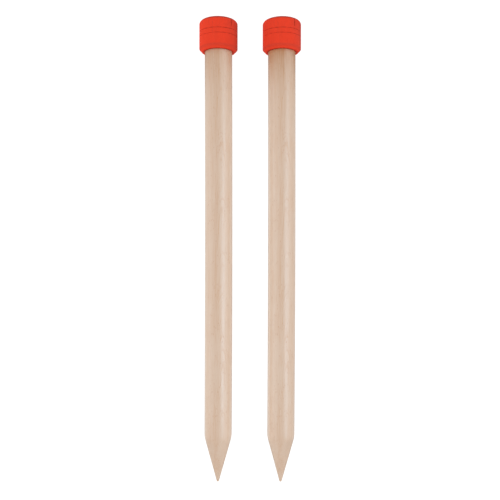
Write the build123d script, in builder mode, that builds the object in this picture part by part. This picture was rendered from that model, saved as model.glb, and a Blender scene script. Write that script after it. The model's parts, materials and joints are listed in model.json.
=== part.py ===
from build123d import *
import math
import os

# A pair of straight, single-pointed wooden knitting needles lying side by side.
# Each needle is a turned shaft with a conical point at one end and a tenon at the
# other, and a turned knob that is glued on the tenon and stops the stitches.
#
# Frame: +Y runs from the points towards the knobs and +Z is up. The origin is on
# the surface that the needles lie on, midway between them and halfway along them.

# ---- driving dimensions, in millimetres ----

NEEDLE_SPACING = 58.0  # from axis to axis

SHAFT_DIAMETER = 25.0
WORKING_LENGTH = 395.2  # from the end of the point to the knob
POINT_HALF_ANGLE = 15.5  # degrees
NOSE_RADIUS = 1.1  # at the end of the point
SHOULDER_RADIUS = 25.0  # of the blend from the point to the shaft
JOINT_CHAMFER = 0.35  # on the shaft's edge, where it meets the knob

KNOB_DIAMETER = 35.0
KNOB_HEIGHT = 28.4
KNOB_BEVEL = 2.5  # at the mouth, both across and along
KNOB_CORNER_RADIUS = 0.8  # where the bevel meets the side
CROWN_HEIGHT = 3.6  # of the rounded edge at the closed end, along the axis
CROWN_WIDTH = 5.0  # of the same edge, across the axis
GROOVE_HEIGHTS = (12.9, 17.4)  # of the two turned grooves, from the mouth
GROOVE_WIDTH = 0.9
GROOVE_DEPTH = 0.45

TENON_DIAMETER = 18.0
TENON_LENGTH = 17.0
TENON_CHAMFER = 1.0
SOCKET_CLEARANCE = 0.05  # round the tenon, for glue
SOCKET_EXTRA_DEPTH = 1.0  # past the end of the tenon, for glue
SOCKET_CHAMFER = 0.6  # at the mouth, hidden behind the shaft's shoulder

# ---- sizes that follow from them ----

shaft_radius = SHAFT_DIAMETER / 2
tenon_radius = TENON_DIAMETER / 2
tenon_end = WORKING_LENGTH + TENON_LENGTH
knob_radius = KNOB_DIAMETER / 2
knob_end = WORKING_LENGTH + KNOB_HEIGHT
crown_start = knob_end - CROWN_HEIGHT
socket_radius = tenon_radius + SOCKET_CLEARANCE
socket_end = tenon_end + SOCKET_EXTRA_DEPTH

# The cone's straight side runs from the end of the nose's arc to the shaft's radius.
half_angle = math.radians(POINT_HALF_ANGLE)
nose_end = NOSE_RADIUS * (1 - math.sin(half_angle))
nose_end_radius = NOSE_RADIUS * math.cos(half_angle)
shoulder = nose_end + (shaft_radius - nose_end_radius) / math.tan(half_angle)
blend_end = shoulder + SHOULDER_RADIUS * math.tan(half_angle / 2)

# A needle lies on the blend behind its point and on the corner of its knob, which is
# wider than the shaft, so it slopes up a little towards the knob. The slope is that of
# the line through the knob's corner that touches the blend's arc.
knob_corner = WORKING_LENGTH + KNOB_BEVEL
blend_to_corner = Vector(
    knob_corner - blend_end,
    knob_radius - (shaft_radius - SHOULDER_RADIUS),
)
slope = math.atan2(blend_to_corner.Y, blend_to_corner.X) - math.asin(
    SHOULDER_RADIUS / blend_to_corner.length
)
point_height = knob_radius * math.cos(slope) - knob_corner * math.sin(slope)


def needle_plane(across):
    """The plane of a needle's section: X runs along its axis from the point, Y is the radius."""
    return Plane(
        origin=(across, -knob_end / 2 * math.cos(slope), point_height),
        x_dir=(0, math.cos(slope), math.sin(slope)),
        z_dir=(1, 0, 0),
    )


def make_shaft(plane):
    """A shaft: rounded nose, conical point, blended shoulder, cylinder and tenon."""
    arc_middle = (math.pi / 2 - half_angle) / 2
    with BuildPart() as shaft:
        with BuildSketch(plane):
            with BuildLine():
                nose = ThreePointArc(
                    (0, 0),
                    (NOSE_RADIUS * (1 - math.cos(arc_middle)), NOSE_RADIUS * math.sin(arc_middle)),
                    (nose_end, nose_end_radius),
                )
                side = FilletPolyline(
                    nose @ 1,
                    (shoulder, shaft_radius),
                    (WORKING_LENGTH - JOINT_CHAMFER, shaft_radius),
                    radius=SHOULDER_RADIUS,
                )
                Polyline(
                    side @ 1,
                    (WORKING_LENGTH, shaft_radius - JOINT_CHAMFER),
                    (WORKING_LENGTH, tenon_radius),
                    (tenon_end - TENON_CHAMFER, tenon_radius),
                    (tenon_end, tenon_radius - TENON_CHAMFER),
                    (tenon_end, 0),
                    nose @ 0,
                )
            make_face()
        revolve(axis=Axis(plane.origin, plane.x_dir))
    return shaft


def groove(height):
    """The three points of a groove's V, at a height above the knob's mouth."""
    middle = WORKING_LENGTH + height
    return (
        (middle - GROOVE_WIDTH / 2, knob_radius),
        (middle, knob_radius - GROOVE_DEPTH),
        (middle + GROOVE_WIDTH / 2, knob_radius),
    )


def make_knob(plane):
    """A knob: blind socket, bevelled mouth, side with two grooves and crowned end."""
    lower_groove, upper_groove = (groove(height) for height in GROOVE_HEIGHTS)
    with BuildPart() as knob:
        with BuildSketch(plane):
            with BuildLine():
                bevel = FilletPolyline(
                    (WORKING_LENGTH, knob_radius - KNOB_BEVEL),
                    (knob_corner, knob_radius),
                    lower_groove[0],
                    radius=KNOB_CORNER_RADIUS,
                )
                Polyline(*lower_groove, *upper_groove, (crown_start, knob_radius))
                EllipticalCenterArc(
                    (crown_start, knob_radius - CROWN_WIDTH),
                    CROWN_HEIGHT,
                    CROWN_WIDTH,
                    start_angle=0,
                    arc_size=90,
                )
                Polyline(
                    (knob_end, knob_radius - CROWN_WIDTH),
                    (knob_end, 0),
                    (socket_end, 0),
                    (socket_end, socket_radius),
                    (WORKING_LENGTH + SOCKET_CHAMFER, socket_radius),
                    (WORKING_LENGTH, socket_radius + SOCKET_CHAMFER),
                    bevel @ 0,
                )
            make_face()
        revolve(axis=Axis(plane.origin, plane.x_dir))
    return knob


os.makedirs("parts", exist_ok=True)

for side, across in (("left", -NEEDLE_SPACING / 2), ("right", NEEDLE_SPACING / 2)):
    plane = needle_plane(across)

    shaft = make_shaft(plane)
    shaft.part.label = f"{side}_shaft"
    export_step(shaft.part, f"parts/{side}_shaft.step")

    knob = make_knob(plane)
    knob.part.label = f"{side}_knob"
    export_step(knob.part, f"parts/{side}_knob.step")

print(f"slope {math.degrees(slope):.4f} degrees, height of the axis at the point {point_height:.4f}")
print(f"the blend ends {blend_end:.3f} from the end of the point")
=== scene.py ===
"""The looks of a pair of straight wooden knitting needles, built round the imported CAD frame.

Each needle is a turned shaft of pale wood and a turned knob painted red. Both are lathed
meshes that stand for their CAD solids. The shaft's slight bow, the knob's turned grooves and
crack, and the eased edges are in the meshes; wood and paint are procedural materials.
"""

import json
import math

import bpy
import numpy as np
from mathutils import Matrix, Vector


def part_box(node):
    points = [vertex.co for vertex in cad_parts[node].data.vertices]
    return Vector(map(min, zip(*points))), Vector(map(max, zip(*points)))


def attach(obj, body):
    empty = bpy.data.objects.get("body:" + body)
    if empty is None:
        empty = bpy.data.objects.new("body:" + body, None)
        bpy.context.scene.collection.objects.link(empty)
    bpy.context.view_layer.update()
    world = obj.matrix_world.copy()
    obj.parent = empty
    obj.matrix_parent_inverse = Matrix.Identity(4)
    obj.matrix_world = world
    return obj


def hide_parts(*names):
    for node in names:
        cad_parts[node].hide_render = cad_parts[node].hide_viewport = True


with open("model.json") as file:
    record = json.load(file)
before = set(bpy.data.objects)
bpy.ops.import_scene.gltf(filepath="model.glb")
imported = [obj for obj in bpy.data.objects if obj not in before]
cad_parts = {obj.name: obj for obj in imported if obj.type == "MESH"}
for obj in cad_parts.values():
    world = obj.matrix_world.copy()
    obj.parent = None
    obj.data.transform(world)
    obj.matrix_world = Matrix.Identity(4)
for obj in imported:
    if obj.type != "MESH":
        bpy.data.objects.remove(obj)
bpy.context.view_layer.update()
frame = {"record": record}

MM = 0.001  # metres in a millimetre
SIDES = ("left", "right")

# ---- the needle, in millimetres, as the CAD has it ----

WORKING_LENGTH = 395.2  # from the end of the point to the knob's mouth
POINT_HALF_ANGLE = math.radians(15.5)
NOSE_RADIUS = 1.1
SHOULDER_RADIUS = 25.0
JOINT_EDGE = 0.35  # eased edge of the shaft, where it meets the knob
KNOB_HEIGHT = 28.4
KNOB_BEVEL = 2.5
CROWN_HEIGHT, CROWN_WIDTH = 3.6, 5.0
GROOVE_HEIGHTS = (12.9, 17.4)
GROOVE_WIDTH, GROOVE_DEPTH = 0.9, 0.45
TENON_RADIUS, TENON_LENGTH, TENON_CHAMFER = 9.0, 17.0, 1.0
SOCKET_RADIUS, SOCKET_DEPTH, SOCKET_CHAMFER = 9.05, 18.0, 0.6

mounts = {mount["name"]: mount for mount in frame["record"]["mounts"]}
shaft_radius = mounts["left_working_shaft"]["dims"]["r_mm"]
knob_low, knob_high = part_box("left_knob")
knob_radius = (knob_high.x - knob_low.x) / 2 / MM
needle_length = WORKING_LENGTH + KNOB_HEIGHT


def needle_matrix(side):
    """From a needle's own millimetres (across, along from the point, up) to the frame."""
    end = mounts[f"{side}_knob_end"]
    along = Vector(end["axis"]).normalized()
    across = Vector((1, 0, 0))
    up = across.cross(along)
    point = Vector(end["pos_m"]) - along * needle_length * MM
    turn = Matrix((across, along, up)).transposed().to_4x4()
    return Matrix.Translation(point) @ turn @ Matrix.Scale(MM, 4)


# ---- outlines: lists of (station along the axis, radius), in millimetres ----


def run(start, end, step):
    """Points from start up to, but not including, end, no further apart than step."""
    count = max(1, math.ceil(math.dist(start, end) / step))
    return [Vector(start).lerp(Vector(end), i / count) for i in range(count)]


def arc(centre, radii, start, end, count):
    """Points on an ellipse's arc between two angles in degrees, both ends included."""
    angles = [math.radians(start + (end - start) * i / count) for i in range(count + 1)]
    reach = Vector(radii)
    return [Vector(centre) + reach * Vector((math.cos(a), math.sin(a))) for a in angles]


def eased(before, corner, after, radius, count=4):
    """The arc that rounds a corner of an outline, as points."""
    corner = Vector(corner)
    to_before = (Vector(before) - corner).normalized()
    to_after = (Vector(after) - corner).normalized()
    half = to_before.angle(to_after) / 2
    centre = corner + (to_before + to_after).normalized() * radius / math.sin(half)
    first = corner + to_before * radius / math.tan(half) - centre
    last = corner + to_after * radius / math.tan(half) - centre
    return [centre + first.slerp(last, i / count) * radius for i in range(count + 1)]


def rounded(corners, step):
    """An outline through corners, each (station, radius, radius of its easing or 0)."""
    outline = [Vector(corners[0][:2])]
    for before, (station, radius, easing), after in zip(corners, corners[1:], corners[2:]):
        corner = Vector((station, radius))
        bend = eased(before[:2], corner, after[:2], easing) if easing else [corner]
        outline += run(outline.pop(), bend[0], step) + bend
    return outline + run(outline.pop(), corners[-1][:2], step) + [Vector(corners[-1][:2])]


def shaft_outline():
    """The point's nose, the cone, the blend behind it, the cylinder and the tenon."""
    nose_centre = (NOSE_RADIUS, 0)
    nose = arc(nose_centre, (NOSE_RADIUS, NOSE_RADIUS), 180, 90 + math.degrees(POINT_HALF_ANGLE), 8)
    nose_end = nose.pop()
    shoulder = nose_end.x + (shaft_radius - nose_end.y) / math.tan(POINT_HALF_ANGLE)
    shoulder_corner = (shoulder, shaft_radius)
    joint_corner = (WORKING_LENGTH, shaft_radius)
    blend = eased(nose_end, shoulder_corner, joint_corner, SHOULDER_RADIUS, 12)
    blend_end = blend.pop()
    tenon_end = WORKING_LENGTH + TENON_LENGTH
    body = [
        (*blend_end, 0),
        (*joint_corner, JOINT_EDGE),
        (WORKING_LENGTH, TENON_RADIUS, 0),
        (tenon_end - TENON_CHAMFER, TENON_RADIUS, 0),
        (tenon_end, TENON_RADIUS - TENON_CHAMFER, 0),
        (tenon_end, 0, 0),
    ]
    return nose + run(nose_end, blend[0], step=1.5) + blend + rounded(body, step=3.0)


def knob_outline():
    """The closed end, the crown, the side with its grooves, the bevelled mouth and the socket."""
    mouth, end = WORKING_LENGTH, WORKING_LENGTH + KNOB_HEIGHT
    crown_start = end - CROWN_HEIGHT
    crown_centre = (crown_start, knob_radius - CROWN_WIDTH)
    crown = arc(crown_centre, (CROWN_HEIGHT, CROWN_WIDTH), 0, 90, 16)
    corners = [(*crown.pop(), 0)]
    for height in reversed(GROOVE_HEIGHTS):
        for along, depth, easing in ((0.5, 0, 0.2), (0, GROOVE_DEPTH, 0.1), (-0.5, 0, 0.2)):
            station = mouth + height + along * GROOVE_WIDTH
            corners.append((station, knob_radius - depth, easing))
    corners += [
        (mouth + KNOB_BEVEL, knob_radius, 0.8),
        (mouth, knob_radius - KNOB_BEVEL, 0.3),
        (mouth, SOCKET_RADIUS + SOCKET_CHAMFER, 0),
        (mouth + SOCKET_CHAMFER, SOCKET_RADIUS, 0),
        (mouth + SOCKET_DEPTH, SOCKET_RADIUS, 0),
        (mouth + SOCKET_DEPTH, 0, 0),
    ]
    return run((end, 0), crown[0], step=0.8) + crown + rounded(corners, step=0.7)


# ---- lathed meshes ----

BOW = 0.5  # how far a shaft bends towards the right, halfway along it


def bowed(local):
    """A needle's own points, moved with the slight bend of its shaft."""
    share = np.clip(local[:, 1] / WORKING_LENGTH, 0, 1)
    return local + np.outer(np.sin(np.pi * share), (BOW, 0, 0))


def even_angles(count, start=0.0):
    """Angles round a needle, from up towards the right."""
    return [start + 2 * math.pi * i / count for i in range(count)]


def lathe(name, outline, angles, matrix, shape=None, *shape_inputs):
    """A closed surface of revolution, smooth, that keeps the needle's millimetres as "grain".

    The outline starts and ends on the axis. shape(station, radius, angle, *shape_inputs) may return new
    radii, and how dark the surface is there with dirt and painted shade, from 0 to 1, which is kept as a
    point attribute.
    """
    stations, radii = np.array(outline[1:-1]).T
    angle, station = np.meshgrid(angles, stations)
    radius = np.repeat(radii[:, None], len(angles), axis=1)
    dirt_and_shade = np.zeros_like(radius)
    if shape:
        radius, dirt_and_shade = shape(station, radius, angle, *shape_inputs)
    rings = np.stack((radius * np.sin(angle), station, radius * np.cos(angle)), axis=-1)
    poles = [(0, outline[0].x, 0), (0, outline[-1].x, 0)]
    local = np.concatenate((rings.reshape(-1, 3), poles))

    count, last_ring = len(angles), (len(stations) - 1) * len(angles)
    first_pole = len(local) - 2
    last_pole = len(local) - 1
    faces = []
    for a in range(count):
        b = (a + 1) % count
        faces.append((first_pole, a, b))
        for ring in range(0, last_ring, count):
            faces.append((ring + a, ring + count + a, ring + count + b, ring + b))
        faces.append((last_pole, last_ring + b, last_ring + a))

    mesh = bpy.data.meshes.new(name)
    mesh.from_pydata([matrix @ Vector(point) for point in bowed(local)], [], faces)
    mesh.attributes.new("grain", "FLOAT_VECTOR", "POINT").data.foreach_set("vector", local.ravel())
    mesh.attributes.new("dirt_and_shade", "FLOAT", "POINT").data.foreach_set("value", np.append(dirt_and_shade, (0, 0)))
    mesh.shade_smooth()
    mesh.set_sharp_from_angle(angle=math.radians(32))
    if enclosed_volume(mesh) < 0:
        mesh.flip_normals()
    piece = bpy.data.objects.new(name, mesh)
    bpy.context.scene.collection.objects.link(piece)
    return piece


def enclosed_volume(mesh):
    """The mesh's volume, negative when its faces look inwards."""
    mesh.calc_loop_triangles()
    corners = [[mesh.vertices[i].co for i in triangle.vertices] for triangle in mesh.loop_triangles]
    a, b, c = np.array(corners).transpose(1, 0, 2)
    return (a * np.cross(b, c)).sum() / 6


def smooth_step(low, high, value):
    """0 at low, 1 at high, and smooth between them."""
    share = np.clip((value - low) / (high - low), 0, 1)
    return share * share * (3 - 2 * share)


# The crack runs in from the closed end, over the crown and down the side. The camera sees
# the right knob more from its left, so the crack is nearer the top there.
CRACK_ANGLES = {"left": math.radians(44.6), "right": math.radians(38.0)}  # from up
CRACK_HALF_WIDTH = 0.37
CRACK_DEPTH = 0.9
CRACK_HEIGHTS = (18.5, 21.5)  # from the mouth, where it starts and where it is full
CRACK_RADII = (6.0, 12.0)  # on the closed end, between which it fades in
GROOVE_DIRT_AND_SHADE = 0.55  # how dark dirt and painted shade make the grooves, where the crack is 1

SHAFT_SEGMENTS = 144
KNOB_SEGMENTS = 160


def knob_angles(crack_angle):
    """Even angles, and more of them across the crack."""
    spacing = 2 * math.pi / KNOB_SEGMENTS
    across = [crack_angle + spacing * share for share in (-0.44, -0.28, -0.13, 0, 0.13, 0.28, 0.44)]
    return sorted(even_angles(KNOB_SEGMENTS, crack_angle - math.pi - spacing / 2) + across)


def knob_shape(station, radius, angle, crack_angle):
    """The knob's grooves with their uneven depth, and the crack."""
    height = station - WORKING_LENGTH
    outer = radius > SOCKET_RADIUS + SOCKET_CHAMFER
    dirt_and_shade = np.zeros_like(radius)
    for turn, groove in enumerate(GROOVE_HEIGHTS):
        depth = np.where(outer & (np.abs(height - groove) < GROOVE_WIDTH), knob_radius - radius, 0)
        dots = np.sin(11 * angle + 2 * turn) * np.sin(29 * angle + turn)
        radius = radius - depth * (0.25 * dots - 0.15)
        share = 0.85 + 0.35 * np.sin(angle + turn) + 0.4 * dots
        # The grooves are darkened with dirt and painted shade, unevenly round the knob.
        dirt_and_shade = np.maximum(dirt_and_shade, np.clip(GROOVE_DIRT_AND_SHADE * depth / GROOVE_DEPTH * share, 0, 1))
    across = np.abs(angle - crack_angle) * radius
    wander = 0.75 + 0.25 * np.sin(2.3 * height)
    along = smooth_step(*CRACK_HEIGHTS, height) * smooth_step(*CRACK_RADII, radius)
    crack = np.where(outer, np.clip(1 - across / CRACK_HALF_WIDTH, 0, 1) * along * wander, 0)
    # The crack is darkened with dirt and painted shade.
    return radius - crack * CRACK_DEPTH, np.maximum(dirt_and_shade, smooth_step(0, 0.6, crack))


pieces = {}
for side in SIDES:
    matrix = needle_matrix(side)
    crack_angle = CRACK_ANGLES[side]
    angles = knob_angles(crack_angle)
    shaft = lathe(f"{side}_shaft_wood", shaft_outline(), even_angles(SHAFT_SEGMENTS), matrix)
    knob = lathe(f"{side}_knob_paint", knob_outline(), angles, matrix, knob_shape, crack_angle)
    for kind, piece, slot in (("shaft", shaft, "shaft_wood"), ("knob", knob, "knob_paint")):
        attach(piece, f"{side}_needle")
        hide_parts(f"{side}_{kind}")
        pieces[side, kind] = piece


# ---- materials ----


class Shader:
    """A material's nodes, added one by one. An input is a number, a colour or another output."""

    def __init__(self, owner):
        owner.use_nodes = True
        self.tree = owner.node_tree

    def set(self, node, inputs):
        for key, value in inputs.items():
            socket = node.inputs[key]
            if isinstance(value, bpy.types.NodeSocket):
                self.tree.links.new(value, socket)
            else:
                socket.default_value = value

    def add(self, kind, inputs, output=0, **settings):
        node = self.tree.nodes.new(kind)
        for key, value in settings.items():
            setattr(node, key, value)
        self.set(node, inputs)
        return node.outputs[output]

    def attribute(self, name, output):
        return self.add("ShaderNodeAttribute", {}, output, attribute_name=name)

    def math(self, operation, a, b=0.0, c=0.0):
        return self.add("ShaderNodeMath", {0: a, 1: b, 2: c}, operation=operation)

    def vector(self, operation, a, b=(0, 0, 0), c=(0, 0, 0), output=0):
        return self.add("ShaderNodeVectorMath", {0: a, 1: b, 2: c}, output, operation=operation)

    def part(self, vector, axis):
        return self.add("ShaderNodeSeparateXYZ", {"Vector": vector}, axis)

    def ramp(self, value, low, high, at_low=0.0, at_high=1.0):
        """Smooth from at_low where the value is low or less to at_high where it is high or more."""
        inputs = {"Value": value, "From Min": low, "From Max": high, "To Min": at_low, "To Max": at_high}
        return self.add("ShaderNodeMapRange", inputs, interpolation_type="SMOOTHSTEP")

    def falloff(self, distance, reach):
        """1 where the distance is 0, and less by a factor of e for each reach below that."""
        return self.math("EXPONENT", self.math("DIVIDE", distance, reach))

    def mixed(self, factor, a, b):
        return self.add("ShaderNodeMix", {"Factor": factor, "A": a, "B": b}, 2, data_type="RGBA")

    def noise(self, place, sizes, detail=2.0, roughness=0.5, seed=0, output="Fac"):
        """Noise with features of the given sizes in millimetres."""
        scale = tuple(1 / size for size in sizes)
        offset = (3.17 * seed, 7.31 * seed, 5.73 * seed)
        scaled = self.vector("MULTIPLY_ADD", place, scale, offset)
        inputs = {"Vector": scaled, "Scale": 1.0, "Detail": detail, "Roughness": roughness}
        return self.add("ShaderNodeTexNoise", inputs, output)

    def bent(self, place, sizes, reach, seed):
        """The place, moved sideways by up to about reach millimetres, so that straight grain wanders."""
        drift = self.vector("SUBTRACT", self.noise(place, sizes, seed=seed, output="Color"), (0.5, 0.5, 0.5))
        return self.vector("MULTIPLY_ADD", drift, (2 * reach, 0, 2 * reach), place)

    def flecks(self, place, sizes, share, seed):
        """Short dashes, 1 in their middle, in about a share of the cells of the given sizes."""
        scale = tuple(1 / size for size in sizes)
        cells = self.vector("MULTIPLY_ADD", place, scale, (seed, 2 * seed, 3 * seed))
        near = self.add("ShaderNodeTexVoronoi", {"Vector": cells, "Scale": 1.0}, "Distance")
        draw = self.add("ShaderNodeTexVoronoi", {"Vector": cells, "Scale": 1.0}, "Color")
        draw = self.add("ShaderNodeSeparateColor", {"Color": draw}, "Red")
        drawn = self.ramp(draw, 1 - share, 1 - share / 2)
        return self.math("MULTIPLY", self.ramp(near, 0.36, 0.10), drawn)


def rgb(red, green, blue):
    return (red, green, blue, 1.0)


WOOD_PALE = rgb(0.648, 0.511, 0.407)
WOOD_TAN = rgb(0.634, 0.479, 0.368)
WOOD_BROWN = rgb(0.541, 0.307, 0.165)
WOOD_FLECK = rgb(0.470, 0.225, 0.120)
WOOD_STAIN_AND_SHADE = rgb(0.425, 0.210, 0.096)

HEART_ASIDE = -1.2  # the darker layer runs a little left of the middle
HEART_HALF_WIDTH = 4.0

# The rings' pith lies far under the shaft, and opposite the upper right of its surface, where
# the rings run out and draw small arches.
RING_SPACING = 0.47
RING_LEAN = math.radians(-2.1)
PITH_DISTANCE = 40.0
PITH_ANGLE = math.radians(21.6)

# The stain fades away from the knob: most of it soon, and a trace over a long stretch. It is thinner on a
# stretch right of the middle, a painted highlight where the highlight band runs.
STAIN_REACH = 20.0
TRACE_REACH, TRACE_STRENGTH = 90.0, 0.06
POINT_PAINTED_SHADE = (75, 42, 0.0, 0.06)  # places along the needle and the strength there of the painted shade towards the point

# Each needle keeps light from the side of its mate that faces it. The wood is painted paler on that side and
# darker on the other, as painted light and shade, by this share of each colour for each millimetre.
MATE_SIDE_PAINTED_LIGHT = (0.006, 0.008, 0.0098)


def wood_material(name, stain_strength, mate_direction):
    """Sanded and waxed pale wood: a solid texture of rings, layers, fibres and flecks.

    It is stained darker towards the knob, and darkened a little towards the point with painted shade. The
    mate's direction is 1 when the needle's mate is on its right and -1 when it is on its left; the wood is
    painted paler towards the mate and darker away from it.
    """
    material = bpy.data.materials.new(name)
    s = Shader(material)
    grain = s.attribute("grain", "Vector")
    across, along = s.part(grain, "X"), s.part(grain, "Y")
    bent = s.bent(grain, (22, 75, 22), reach=2.0, seed=1)

    layers = s.noise(bent, (3.2, 120, 3.2), seed=2)
    streaks = s.noise(bent, (0.85, 30, 0.85), detail=3, roughness=0.6, seed=3)
    fibres = s.noise(bent, (0.42, 13, 0.42), detail=3, roughness=0.6, seed=4)
    blotches = s.noise(grain, (9, 24, 9), seed=5)
    flecks = s.flecks(bent, (1.2, 3.6, 1.2), share=0.5, seed=1.3)
    flecks = s.math("MULTIPLY", flecks, s.ramp(blotches, 0.34, 0.54))

    # The dark late wood of each growth ring, shown in patches.
    inputs = {
        "Vector": bent,
        "Location": (PITH_DISTANCE * math.sin(PITH_ANGLE), 0, PITH_DISTANCE * math.cos(PITH_ANGLE)),
        "Rotation": (RING_LEAN * math.cos(PITH_ANGLE), 0, -RING_LEAN * math.sin(PITH_ANGLE)),
    }
    from_pith = s.vector("MULTIPLY", s.add("ShaderNodeMapping", inputs), (1, 0, 1))
    turns = s.math("DIVIDE", s.vector("LENGTH", from_pith, output="Value"), RING_SPACING)
    uneven = s.noise(s.add("ShaderNodeCombineXYZ", {"X": turns}), (3, 1, 1), seed=6)
    ring = s.math("FRACT", s.math("MULTIPLY_ADD", uneven, 2.5, turns))
    late = s.math("MULTIPLY", s.ramp(ring, 0.5, 0.88), s.ramp(ring, 1.0, 0.92))
    late = s.math("MULTIPLY", late, s.ramp(blotches, 0.42, 0.62))

    from_heart = s.math("ABSOLUTE", s.math("SUBTRACT", s.part(bent, "X"), HEART_ASIDE))
    heart = s.ramp(from_heart, HEART_HALF_WIDTH, 0.5)

    colour = s.mixed(s.ramp(layers, 0.3, 0.7), WOOD_TAN, WOOD_PALE)
    streaks_shown = s.math("MULTIPLY_ADD", heart, 0.22, 0.12)
    streaks_shown = s.math("MULTIPLY", s.ramp(streaks, 0.46, 0.70), streaks_shown)
    colour = s.mixed(s.math("MULTIPLY", heart, 0.07), colour, WOOD_BROWN)
    colour = s.mixed(streaks_shown, colour, WOOD_BROWN)
    colour = s.mixed(s.math("MULTIPLY", late, 0.35), colour, WOOD_BROWN)
    colour = s.mixed(s.math("MULTIPLY", s.ramp(fibres, 0.40, 0.75), 0.19), colour, WOOD_BROWN)
    colour = s.mixed(s.math("MULTIPLY", flecks, 0.42), colour, WOOD_FLECK)

    from_knob = s.math("SUBTRACT", along, WORKING_LENGTH)
    near_knob = s.math("MULTIPLY", s.falloff(from_knob, STAIN_REACH), stain_strength)
    stain = s.math("MULTIPLY_ADD", s.falloff(from_knob, TRACE_REACH), TRACE_STRENGTH, near_knob)
    stain = s.math("MULTIPLY", stain, s.ramp(streaks, 0.2, 0.7, 0.7, 1.3))
    # Painted highlight: the stain is thinner on a stretch right of the middle, where the highlight runs.
    painted_highlight_gap = s.math("MULTIPLY", s.ramp(across, 0.5, 4.0), s.ramp(across, 12.0, 8.5, 0.0, -0.38))
    stain = s.math("MULTIPLY_ADD", stain, painted_highlight_gap, stain)
    # Stain towards the knob, and painted shade towards the point.
    colour = s.mixed(s.math("MAXIMUM", stain, s.ramp(along, *POINT_PAINTED_SHADE)), colour, WOOD_STAIN_AND_SHADE)
    # Painted light and shade: paler on the side that faces the mate, darker on the other.
    towards_mate = s.math("MULTIPLY", across, mate_direction)
    colour = s.vector("MULTIPLY", colour, s.vector("MULTIPLY_ADD", towards_mate, MATE_SIDE_PAINTED_LIGHT, (1, 1, 1)))

    pores = s.math("SUBTRACT", fibres, s.math("MULTIPLY", flecks, 0.5))
    bump = s.add("ShaderNodeBump", {"Strength": 0.15, "Distance": 0.04 * MM, "Height": pores}, "Normal")
    finish = {
        "Base Color": colour,
        "Roughness": s.math("MULTIPLY_ADD", streaks, 0.05, 0.31),
        "Normal": bump,
        "IOR": 1.45,
        "Specular IOR Level": 0.5,
    }
    s.set(s.tree.nodes["Principled BSDF"], finish)
    return material


PAINT_RED = rgb(0.775, 0.0520, 0.0225)
PAINT_DEEP = rgb(0.745, 0.0505, 0.0220)
PAINT_THIN_AND_SHADE = rgb(0.510, 0.0510, 0.0310)  # where the wood's grain shows through, and painted shade on the right side and at the bevel's edge
PAINT_SOILED_AND_SHADE = rgb(0.170, 0.0260, 0.0170)

# Places across the needle where painted shade on the knob's right side begins, first browner and then
# darker, and where each is strongest.
SIDE_SHADE_SPAN = (7.0, 17.5)
SIDE_DARK_SPAN = (14.0, 17.5)

# Heights from the mouth, between which a line round the knob appears and disappears.
BEVEL_SHADE_RISES, BEVEL_SHADE_FALLS = (0.6, 2.3), (4.4, 2.7)  # painted shade along the bevel's edge
RIM_SHADE_RISES = (KNOB_HEIGHT - 2.7, KNOB_HEIGHT - 1.9)  # painted shade along the top of the crown's rim
RIM_SHADE_FALLS = (KNOB_HEIGHT - 0.1, KNOB_HEIGHT - 0.6)


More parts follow.
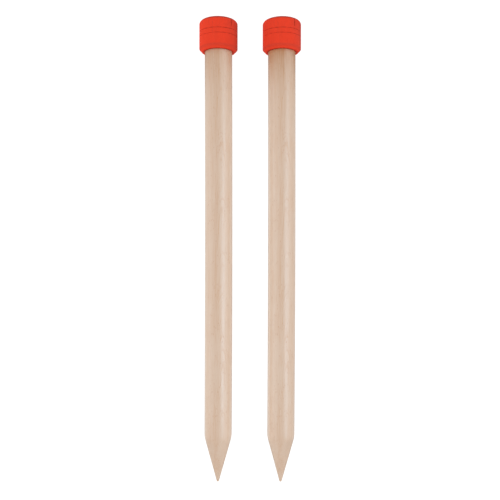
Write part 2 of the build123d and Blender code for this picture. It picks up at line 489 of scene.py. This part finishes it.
def paint_material(name):
    """Matt red paint on turned wood, so thin that the wood's grain shows near the closed end. Its right
    side, the bevel's edge, the crown's rim on top and the mouth carry painted shade, and the grooves and the
    crack carry dirt and painted shade.
    """
    material = bpy.data.materials.new(name)
    s = Shader(material)
    grain = s.attribute("grain", "Vector")
    across, up = s.part(grain, "X"), s.part(grain, "Z")
    height = s.math("SUBTRACT", s.part(grain, "Y"), WORKING_LENGTH)
    radius = s.vector("LENGTH", s.vector("MULTIPLY", grain, (1, 0, 1)), output="Value")

    mottle = s.noise(grain, (5, 9, 5), seed=7)
    streaks = s.noise(grain, (0.55, 16, 0.55), detail=2, roughness=0.6, seed=8)
    streaks_shown = s.math("MULTIPLY", s.ramp(streaks, 0.50, 0.70), s.ramp(height, 4, 22, 0.10, 0.40))
    pores = s.flecks(grain, (1.9, 5.0, 1.9), share=0.45, seed=2.1)
    pores = s.math("MULTIPLY", pores, s.ramp(height, 15, 24))
    # Painted shade along the knob's right side, browner and stronger towards the closed end.
    side_painted_shade = s.math("MULTIPLY", s.ramp(across, *SIDE_SHADE_SPAN), s.ramp(height, 0, 18, 0.40, 0.62))
    # Painted shade along the bevel's edge.
    bevel_painted_shade = s.math("MULTIPLY", s.ramp(height, *BEVEL_SHADE_RISES), s.ramp(height, *BEVEL_SHADE_FALLS))

    # Painted shade along the crown's rim, only on top, broken up.
    rim_painted_shade = s.math("MULTIPLY", s.ramp(height, *RIM_SHADE_RISES), s.ramp(height, *RIM_SHADE_FALLS))
    rim_painted_shade = s.math("MULTIPLY", rim_painted_shade, s.ramp(up, 4.0, 14.0, 0.0, 0.5))
    rim_painted_shade = s.math("MULTIPLY", rim_painted_shade, s.ramp(mottle, 0.35, 0.60, 0.75, 1.05))
    # Painted shadow where the mouth meets the shaft.
    mouth = s.math("MULTIPLY", s.ramp(height, 0.4, 0.1), s.ramp(radius, 14.2, 13.0, 0.0, 0.45))
    # Painted shade, darker still, along the knob's right edge.
    side_painted_dark = s.ramp(across, *SIDE_DARK_SPAN, 0.0, 0.25)
    broken = s.noise(grain, (0.8, 0.8, 0.8), seed=9)
    # Dirt and painted shade in the grooves and the crack, broken up.
    dirt_and_shade = s.math("MULTIPLY", s.attribute("dirt_and_shade", "Fac"), s.ramp(broken, 0.35, 0.6, 0.4, 1.0))
    shaded_and_soiled = s.math("MAXIMUM", s.math("MAXIMUM", rim_painted_shade, mouth), s.math("MAXIMUM", side_painted_dark, dirt_and_shade))

    colour = s.mixed(s.ramp(mottle, 0.35, 0.65), PAINT_DEEP, PAINT_RED)
    colour = s.mixed(side_painted_shade, colour, PAINT_THIN_AND_SHADE)
    colour = s.mixed(streaks_shown, colour, PAINT_THIN_AND_SHADE)
    colour = s.mixed(s.math("MULTIPLY", pores, 0.70), colour, PAINT_THIN_AND_SHADE)
    colour = s.mixed(s.math("MULTIPLY", bevel_painted_shade, 0.45), colour, PAINT_THIN_AND_SHADE)
    # The dark of painted shade at the rim, the mouth and the right side, and of dirt and painted shade in
    # the grooves and the crack.
    colour = s.mixed(shaded_and_soiled, colour, PAINT_SOILED_AND_SHADE)

    relief = s.math("SUBTRACT", streaks, pores)
    bump = s.add("ShaderNodeBump", {"Strength": 0.3, "Distance": 0.06 * MM, "Height": relief}, "Normal")
    finish = {
        "Base Color": colour,
        "Roughness": s.math("MULTIPLY_ADD", streaks, 0.15, 0.50),
        "Normal": bump,
        "IOR": 1.45,
        "Specular IOR Level": 0.02,
    }
    s.set(s.tree.nodes["Principled BSDF"], finish)
    return material


for side, stain_strength, mate_direction in (("left", 0.51, 1), ("right", 0.93, -1)):
    wood = wood_material(f"{side}_wood", stain_strength, mate_direction)
    pieces[side, "shaft"].data.materials.append(wood)
paint = paint_material("red_paint")
for side in SIDES:
    pieces[side, "knob"].data.materials.append(paint)


# ---- the stage ----

FLOOR_HALF_WIDTH = 20.0  # metres, so that its edge is far off in any view
WATTS_PER_RADIANCE = math.pi  # for a square metre of light
COOL_WHITE = (0.62, 0.86, 1.06)  # of the highlight on the right
PALE_WHITE = (0.84, 0.96, 1.0)  # of the sheen along the edges


def add_floor():
    """A wide white floor that glows like a light table, so that shadows are faint.

    Gloss doesn't show it, because its reflection would whiten the needles' edges.
    """
    half = FLOOR_HALF_WIDTH
    mesh = bpy.data.meshes.new("floor")
    corners = [(-half, -half, 0), (half, -half, 0), (half, half, 0), (-half, half, 0)]
    mesh.from_pydata(corners, [], [(0, 1, 2, 3)])
    floor = bpy.data.objects.new("floor", mesh)
    bpy.context.scene.collection.objects.link(floor)
    white = bpy.data.materials.new("floor_white")
    s = Shader(white)
    glow = {
        "Base Color": rgb(0.15, 0.15, 0.15),
        "Roughness": 0.9,
        "Specular IOR Level": 0.0,
        "Emission Color": rgb(1, 1, 1),
        "Emission Strength": 0.95,
    }
    s.set(s.tree.nodes["Principled BSDF"], glow)
    mesh.materials.append(white)
    floor.visible_glossy = False


def add_soft_box(name, angle, width, radiance, gloss_colour=None, ends=(-0.8, 0.5), distance=1.1):
    """A long rectangular light, lengthwise along the needles.

    Its angle is from overhead towards the right, and it spans width degrees. It runs between
    two ends along the needles and is a distance away, in metres. With a gloss colour it lights
    only gloss.
    """
    turn = math.radians(angle)
    light = bpy.data.lights.new(name, "AREA")
    light.shape = "RECTANGLE"
    light.size = 2 * distance * math.tan(math.radians(width) / 2)
    light.size_y = ends[1] - ends[0]
    light.energy = radiance * light.size * light.size_y * WATTS_PER_RADIANCE
    box = bpy.data.objects.new(name, light)
    box.location = (distance * math.sin(turn), sum(ends) / 2, distance * math.cos(turn))
    box.rotation_euler = (0, turn, 0)
    if gloss_colour:
        light.color = gloss_colour
        box.visible_diffuse = False
    bpy.context.scene.collection.objects.link(box)


def add_studio_light(brightest, dimmest, towards):
    """Light from all round, which fades from its brightest side to the opposite one."""
    world = bpy.data.worlds.new("studio")
    bpy.context.scene.world = world
    s = Shader(world)
    direction = s.add("ShaderNodeTexCoord", {}, "Generated")
    facing = s.vector("DOT_PRODUCT", direction, Vector(towards).normalized(), output="Value")
    inputs = {"Value": facing, "From Min": -1.0, "To Min": dimmest, "To Max": brightest}
    strength = s.add("ShaderNodeMapRange", inputs)
    s.set(s.tree.nodes["Background"], {"Color": rgb(1, 1, 1), "Strength": strength})


add_floor()
add_studio_light(brightest=0.94, dimmest=0.0, towards=(0, 0, 1))
add_soft_box("left_softbox", angle=-62, width=56, radiance=1.08)
add_soft_box("right_softbox", angle=62, width=40, radiance=1.4)

# The sheens reach from above the floor's level to far below it, in place of its reflection.
add_soft_box("left_sheen", angle=-110, width=80, radiance=1.35, gloss_colour=PALE_WHITE)
add_soft_box("right_sheen", angle=108, width=80, radiance=0.9, gloss_colour=PALE_WHITE)

# The highlight is bright along the strip, ends before the knob and fades towards the right.
STRIP_ENDS = (-0.48, 0.2)
add_soft_box("right_strip", 33.5, 5, radiance=16.0, gloss_colour=COOL_WHITE, ends=STRIP_ENDS)
add_soft_box("right_glow", angle=47, width=14, radiance=3.5, gloss_colour=COOL_WHITE)
bpy.context.scene.view_settings.view_transform = "Standard"

# ---- the camera, straight above the pair ----

FOCAL_RATIO = 1.22  # focal length over the sensor's width
SENSOR_WIDTH = 36.0
CAMERA_HEIGHT = 0.5766  # metres, as the next two
CAMERA_ALONG = 0.00245  # towards the knobs
CAMERA_ASIDE = 0.0003  # towards the right needle
CAMERA_ROLL = math.radians(0.13)

camera_data = bpy.data.cameras.new("camera")
camera_data.sensor_width = SENSOR_WIDTH
camera_data.lens = SENSOR_WIDTH * FOCAL_RATIO
camera = bpy.data.objects.new("camera", camera_data)
camera.location = (CAMERA_ASIDE, CAMERA_ALONG, CAMERA_HEIGHT)
camera.rotation_euler = (0, 0, CAMERA_ROLL)
bpy.context.scene.collection.objects.link(camera)
bpy.context.scene.camera = camera
